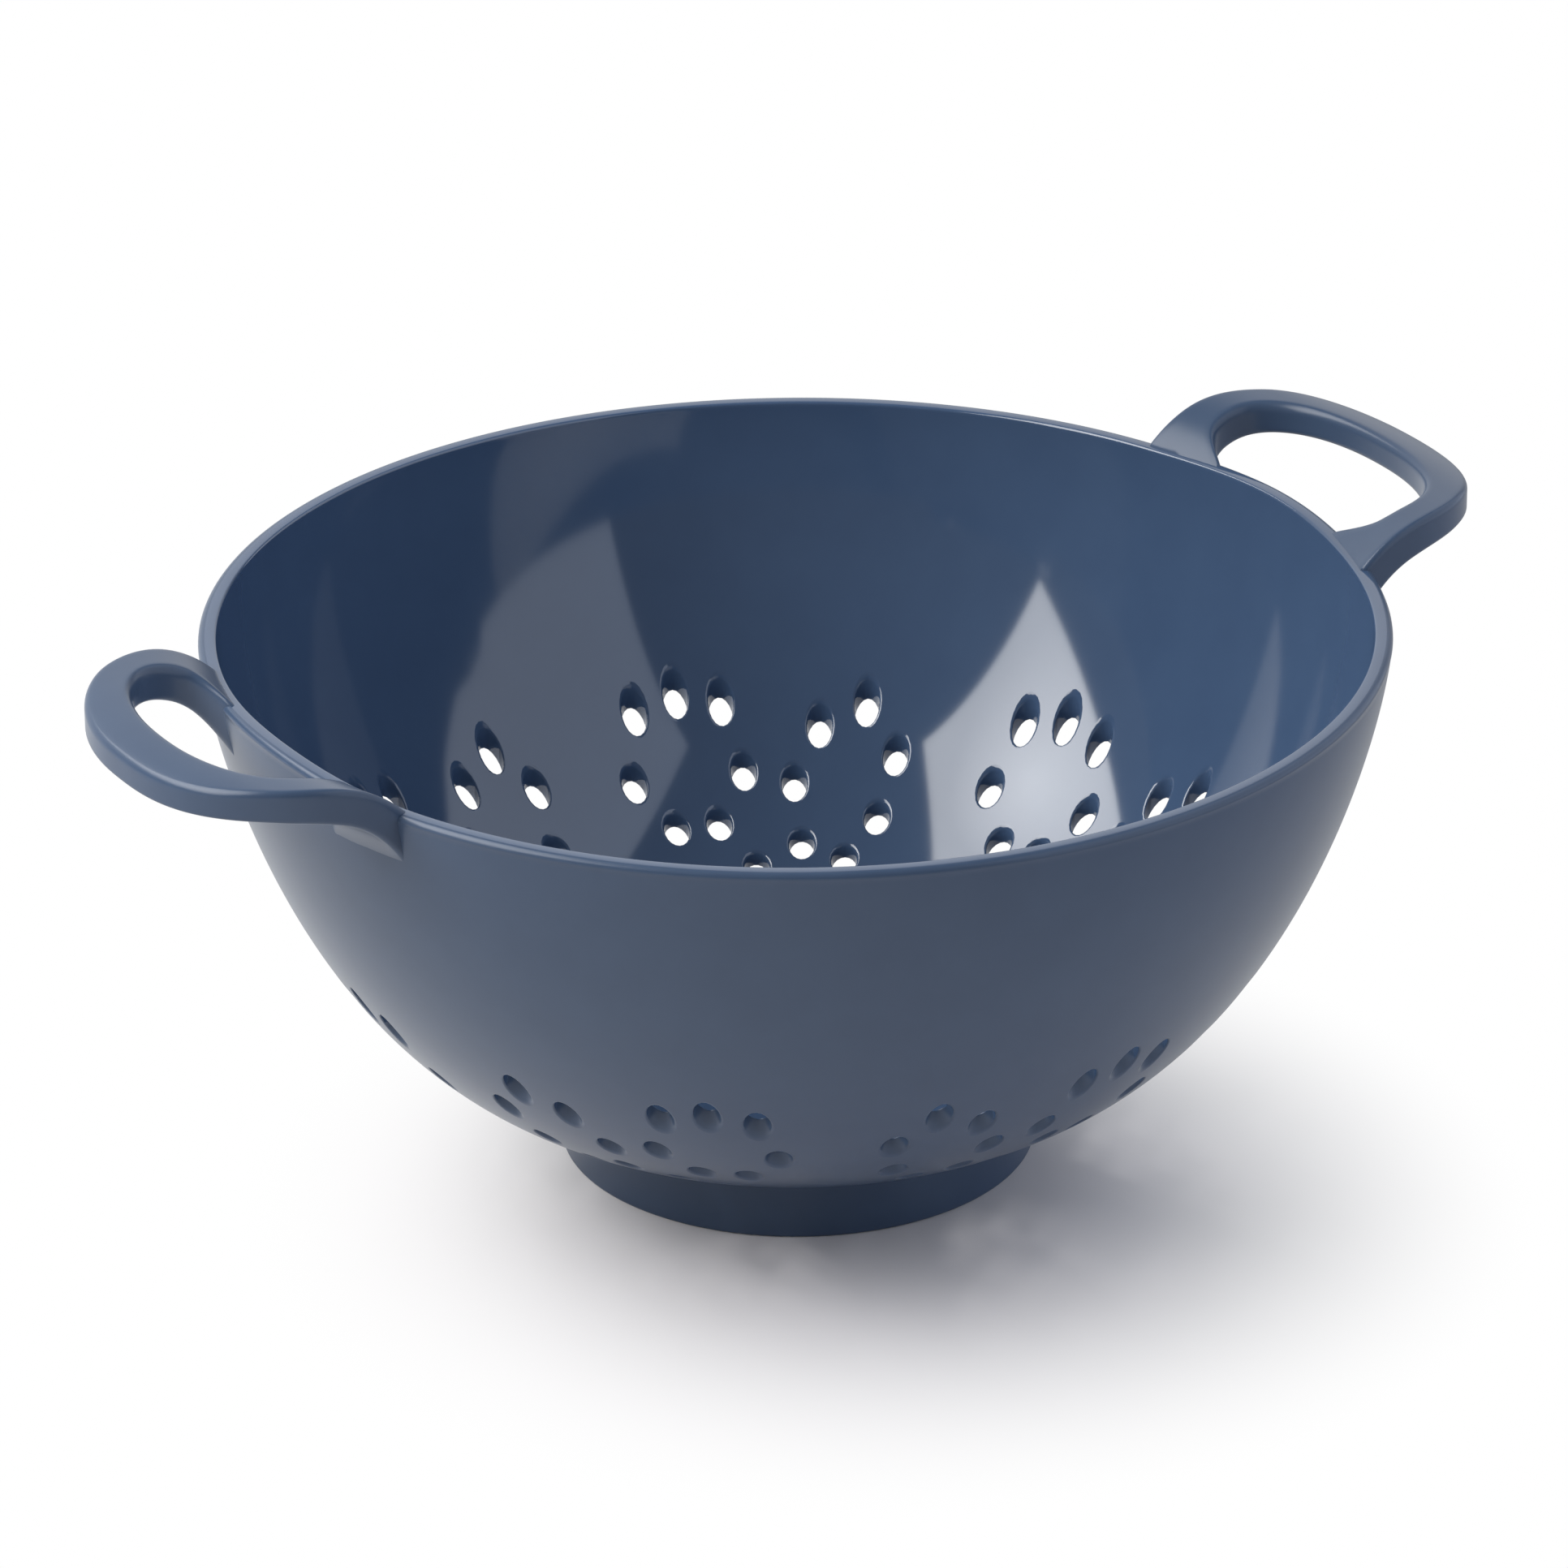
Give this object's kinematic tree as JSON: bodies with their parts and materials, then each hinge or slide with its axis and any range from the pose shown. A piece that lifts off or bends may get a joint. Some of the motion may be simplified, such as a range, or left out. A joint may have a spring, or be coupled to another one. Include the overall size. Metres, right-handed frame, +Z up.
{
  "type": "colander",
  "caption": "Deep round melamine colander with grouped drain holes low in its wall, a plain foot ring and two upswept loop handles, for rinsing and draining food.",
  "frame": {"origin": "centre of the foot ring, on the surface that the colander stands on", "axes": "+Z up along the bowl's axis, +X from the axis through the middle of the right handle"},
  "size_m": [0.304, 0.24, 0.1235],
  "materials": {
    "melamine": "slate blue moulded melamine, polished inside and a little softer outside"
  },
  "bodies": {
    "root": {"bowl": "melamine", "foot_ring": "melamine", "handle_right": "melamine", "handle_left": "melamine"}
  },
  "joints": []
}
